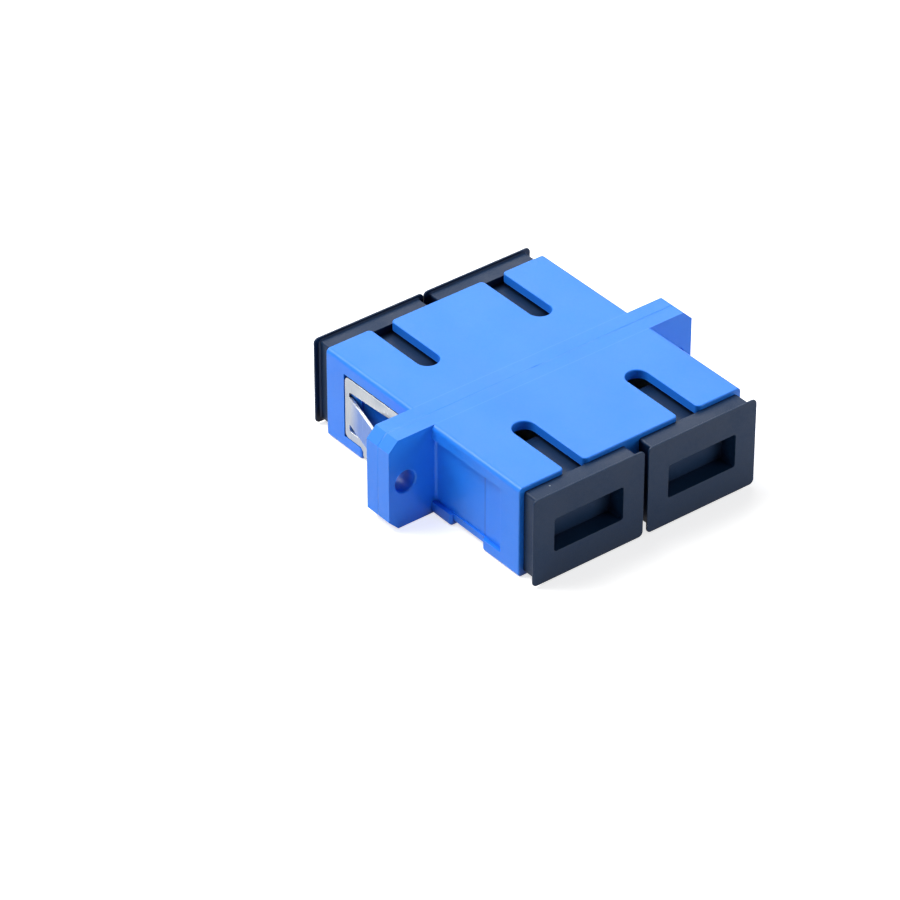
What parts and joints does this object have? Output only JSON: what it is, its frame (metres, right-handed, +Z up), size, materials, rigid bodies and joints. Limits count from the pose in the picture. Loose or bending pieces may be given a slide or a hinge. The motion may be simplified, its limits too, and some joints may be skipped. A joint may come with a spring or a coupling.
{
  "type": "duplex fibre optic adapter",
  "caption": "Flanged fibre adapter with paired square ports each side of the flange, key slots, pull-out dust caps and a sprung panel clip.",
  "frame": {"origin": "centre of the underside, on the seam of the flange", "axes": "+X along the flange, -Y towards the front ports, +Y towards the clip half, +Z up on the side with the key slots"},
  "size_m": [0.0342, 0.0314, 0.0093],
  "materials": {
    "housing_blue": "fine satin moulding",
    "cap_black": "satin moulding",
    "spring_steel": "bright rolled strip",
    "holder_plastic": "satin moulding",
    "sleeve_ceramic": "ground ceramic"
  },
  "bodies": {
    "adapter": {"front_housing": "housing_blue", "rear_housing": "housing_blue", "mounting_clip": "spring_steel", "holder_front_left": "holder_plastic", "holder_front_right": "holder_plastic", "holder_rear_left": "holder_plastic", "holder_rear_right": "holder_plastic", "sleeve_left": "sleeve_ceramic", "sleeve_right": "sleeve_ceramic"},
    "cap_front_left": {"cap_front_left": "cap_black"},
    "cap_front_right": {"cap_front_right": "cap_black"},
    "cap_rear_left": {"cap_rear_left": "cap_black"},
    "cap_rear_right": {"cap_rear_right": "cap_black"}
  },
  "joints": [
    {"name": "cap_front_left_pull", "type": "slide", "parent": "adapter", "child": "cap_front_left", "axis": [0, -1, 0], "range_m": [0, 0.012]},
    {"name": "cap_front_right_pull", "type": "slide", "parent": "adapter", "child": "cap_front_right", "axis": [0, -1, 0], "range_m": [0, 0.012]},
    {"name": "cap_rear_left_pull", "type": "slide", "parent": "adapter", "child": "cap_rear_left", "axis": [0, 1, 0], "range_m": [0, 0.012]},
    {"name": "cap_rear_right_pull", "type": "slide", "parent": "adapter", "child": "cap_rear_right", "axis": [0, 1, 0], "range_m": [0, 0.012]}
  ]
}
